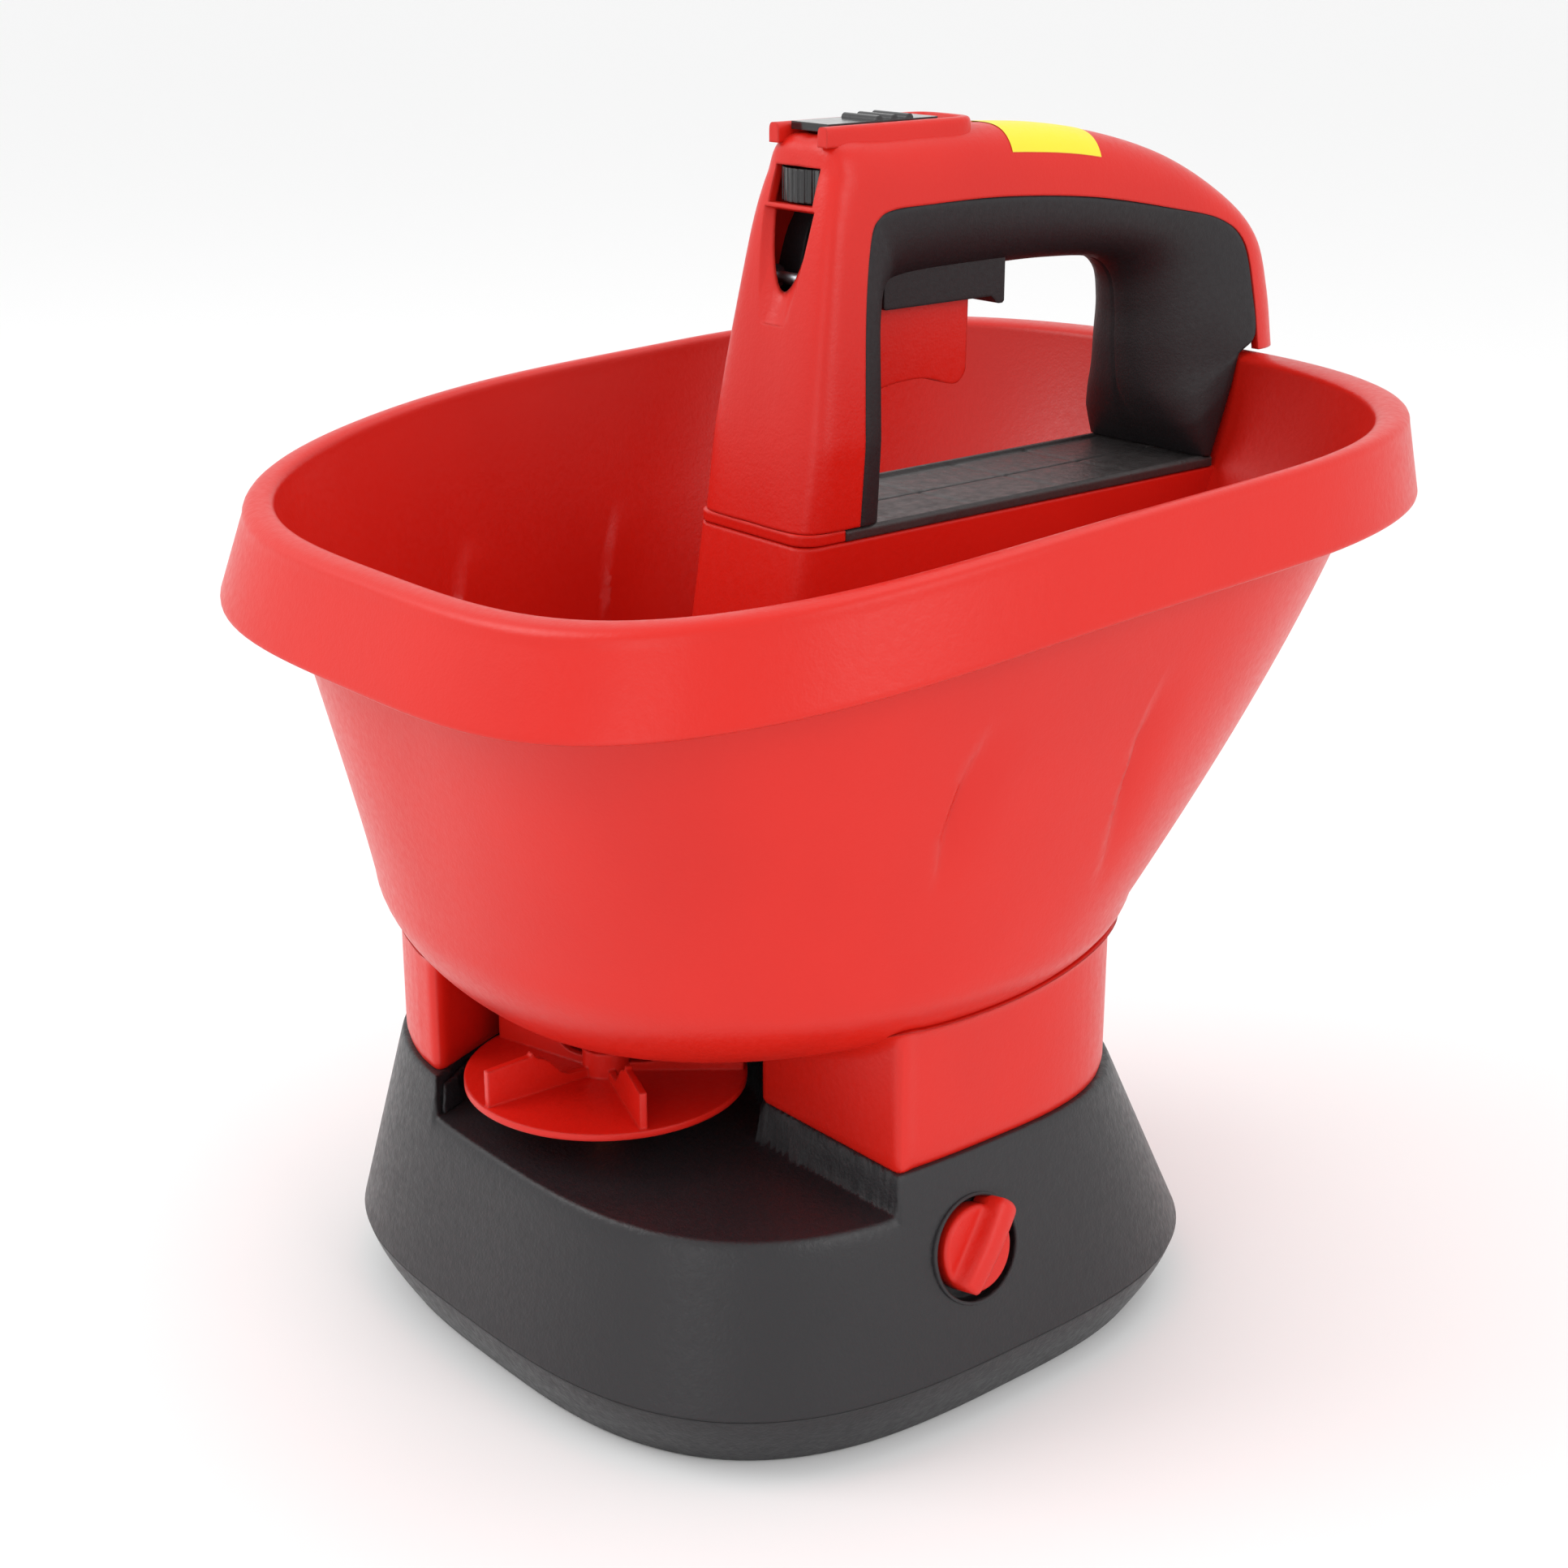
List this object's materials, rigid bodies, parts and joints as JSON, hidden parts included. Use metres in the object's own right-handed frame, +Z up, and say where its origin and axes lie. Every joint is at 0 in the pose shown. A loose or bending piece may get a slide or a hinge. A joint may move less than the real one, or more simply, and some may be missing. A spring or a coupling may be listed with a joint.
{
  "type": "garden spreader",
  "caption": "Handheld battery garden spreader: open hopper on a rounded base, loop handle with trigger, and a vaned disc spinning in a notch under the hopper.",
  "frame": {"origin": "middle of the base's underside, on the floor", "axes": "+Z up; -Y is the front, where the disc throws; +X is the side with the width knob"},
  "size_m": [0.2421, 0.3026, 0.3047],
  "materials": {
    "red_body": "satin moulded red ABS",
    "red_hopper": "satin outside, glossy inside",
    "charcoal": "fine satin grain",
    "soft_grip": "matte soft-touch",
    "black_gloss": "glossy",
    "white_plastic": "natural acetal",
    "steel": "bright drawn",
    "zinc_screw": "zinc plated",
    "brass_part": "bright",
    "board": "green solder mask",
    "sticker": "blank yellow sticker",
    "pad_rubber": "matte"
  },
  "bodies": {
    "frame": {"base_tray": "charcoal", "rubber_feet": "pad_rubber", "base_screws": "zinc_screw", "base_shell": "charcoal", "spindle_bushes": "brass_part", "battery_bay": "charcoal", "contact_carrier": "black_gloss", "contact_blades": "brass_part", "motor": "steel", "gear_plate": "steel", "plate_screws": "zinc_screw", "control_board": "board", "potentiometer": "steel", "hopper": "red_hopper", "hopper_screws": "zinc_screw", "shutter_guide": "charcoal", "crank_pin": "steel", "handle_right": "red_body", "handle_left": "red_body", "grip_right": "soft_grip", "grip_left": "soft_grip", "platform": "soft_grip", "tower_foot": "red_body", "trigger_pin": "steel", "trigger_spring": "steel", "trigger_bezel": "black_gloss", "microswitch": "black_gloss", "handle_screws": "zinc_screw", "foot_screw": "zinc_screw", "label": "sticker"},
    "battery": {"battery_pack": "charcoal"},
    "release": {"release_button": "red_body"},
    "spinner": {"spinner_gear": "white_plastic", "spindle": "red_body", "spreading_disc": "red_body", "agitator": "white_plastic"},
    "rotor": {"motor_pinion": "brass_part", "motor_shaft": "steel"},
    "knob": {"width_knob": "red_body", "knob_shaft": "steel"},
    "shutter_plate": {"shutter": "white_plastic"},
    "bell_crank": {"crank": "white_plastic"},
    "rod": {"pull_rod": "steel"},
    "trigger_lever": {"trigger": "red_body"},
    "lock_slide": {"top_slide": "black_gloss"},
    "dose_dial": {"dose_wheel": "black_gloss"}
  },
  "joints": [
    {"name": "disc_spin", "type": "hinge", "parent": "frame", "child": "spinner", "pos_m": [0, -0.0537, 0.071], "axis": [0, 0, 1], "continuous": true},
    {"name": "motor_spin", "type": "hinge", "parent": "frame", "child": "rotor", "pos_m": [0, -0.0297, 0.047], "axis": [0, 0, 1], "continuous": true},
    {"name": "trigger_pull", "type": "hinge", "parent": "frame", "child": "trigger_lever", "pos_m": [0, 0.02, 0.25], "axis": [1, 0, 0], "range_deg": [0, 12], "stiffness_Nm_per_rad": 0.6, "springref_deg": -20.05, "deforming": ["trigger_spring"]},
    {"name": "rod_travel", "type": "slide", "parent": "frame", "child": "rod", "axis": [0, 0, 1], "range_m": [-0.0026, 0.0001]},
    {"name": "crank_turn", "type": "hinge", "parent": "frame", "child": "bell_crank", "pos_m": [0, 0.014, 0.11], "axis": [1, 0, 0], "range_deg": [-0.5, 24.5]},
    {"name": "shutter_travel", "type": "slide", "parent": "frame", "child": "shutter_plate", "axis": [0, 1, 0], "range_m": [-0.0002, 0.0102]},
    {"name": "lock_travel", "type": "slide", "parent": "frame", "child": "lock_slide", "axis": [0, 1, 0], "range_m": [0, 0.007]},
    {"name": "dose_turn", "type": "hinge", "parent": "frame", "child": "dose_dial", "pos_m": [0, 0.0202, 0.289], "axis": [0, 0, 1], "range_deg": [-135, 135]},
    {"name": "width_turn", "type": "hinge", "parent": "frame", "child": "knob", "pos_m": [0.09362, -0.0112, 0.0444], "axis": [0.9754, 0, 0.2204], "range_deg": [-150, 120]},
    {"name": "pack_travel", "type": "slide", "parent": "frame", "child": "battery", "axis": [0, 1, 0], "range_m": [0, 0.075]},
    {"name": "release_press", "type": "slide", "parent": "battery", "child": "release", "axis": [0, 0, -1], "range_m": [0, 0.003], "stiffness_N_per_m": 900, "springref_m": -0.003}
  ],
  "couplings": [
    {"joint": "motor_spin", "follows": "disc_spin", "ratio": -4},
    {"joint": "rod_travel", "follows": "trigger_pull", "m_per_rad": -0.012},
    {"joint": "crank_turn", "follows": "trigger_pull", "ratio": 2},
    {"joint": "shutter_travel", "follows": "trigger_pull", "m_per_rad": 0.048}
  ]
}
